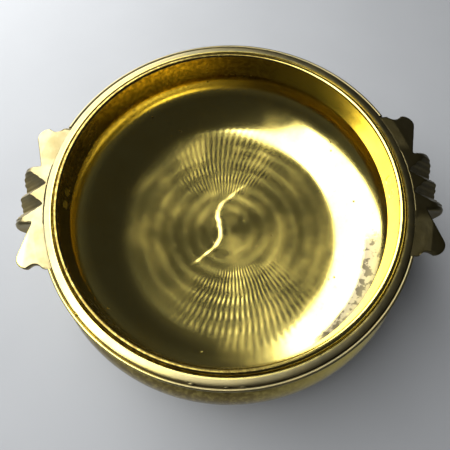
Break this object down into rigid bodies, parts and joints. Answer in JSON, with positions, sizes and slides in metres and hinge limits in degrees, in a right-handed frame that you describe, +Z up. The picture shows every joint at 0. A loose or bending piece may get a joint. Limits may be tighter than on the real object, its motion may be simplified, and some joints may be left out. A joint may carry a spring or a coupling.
{
  "type": "brass urli bowl",
  "caption": "Wide round brass bowl with a swollen belly, short neck, flat rim band and two ribbed lug handles on opposite sides, standing on a flat base.",
  "frame": {"origin": "centre of the flat base, on the surface that the bowl stands on", "axes": "+Z up through the mouth, X through both handles, right-hand handle at +X, -Y towards the viewer"},
  "size_m": [0.3318, 0.312, 0.108],
  "materials": {
    "turned_brass": "lathe-turned and polished, with fine turning marks and light tarnish",
    "rim_brass": "turned flat and polished",
    "cast_brass": "sand cast, filed and hand polished",
    "stud_brass": "hammered over and turned flush"
  },
  "bodies": {
    "root": {"bowl_body": "turned_brass", "rim_ring": "rim_brass", "left_handle": "cast_brass", "right_handle": "cast_brass", "left_front_stud": "stud_brass", "left_back_stud": "stud_brass", "right_front_stud": "stud_brass", "right_back_stud": "stud_brass"}
  },
  "joints": []
}
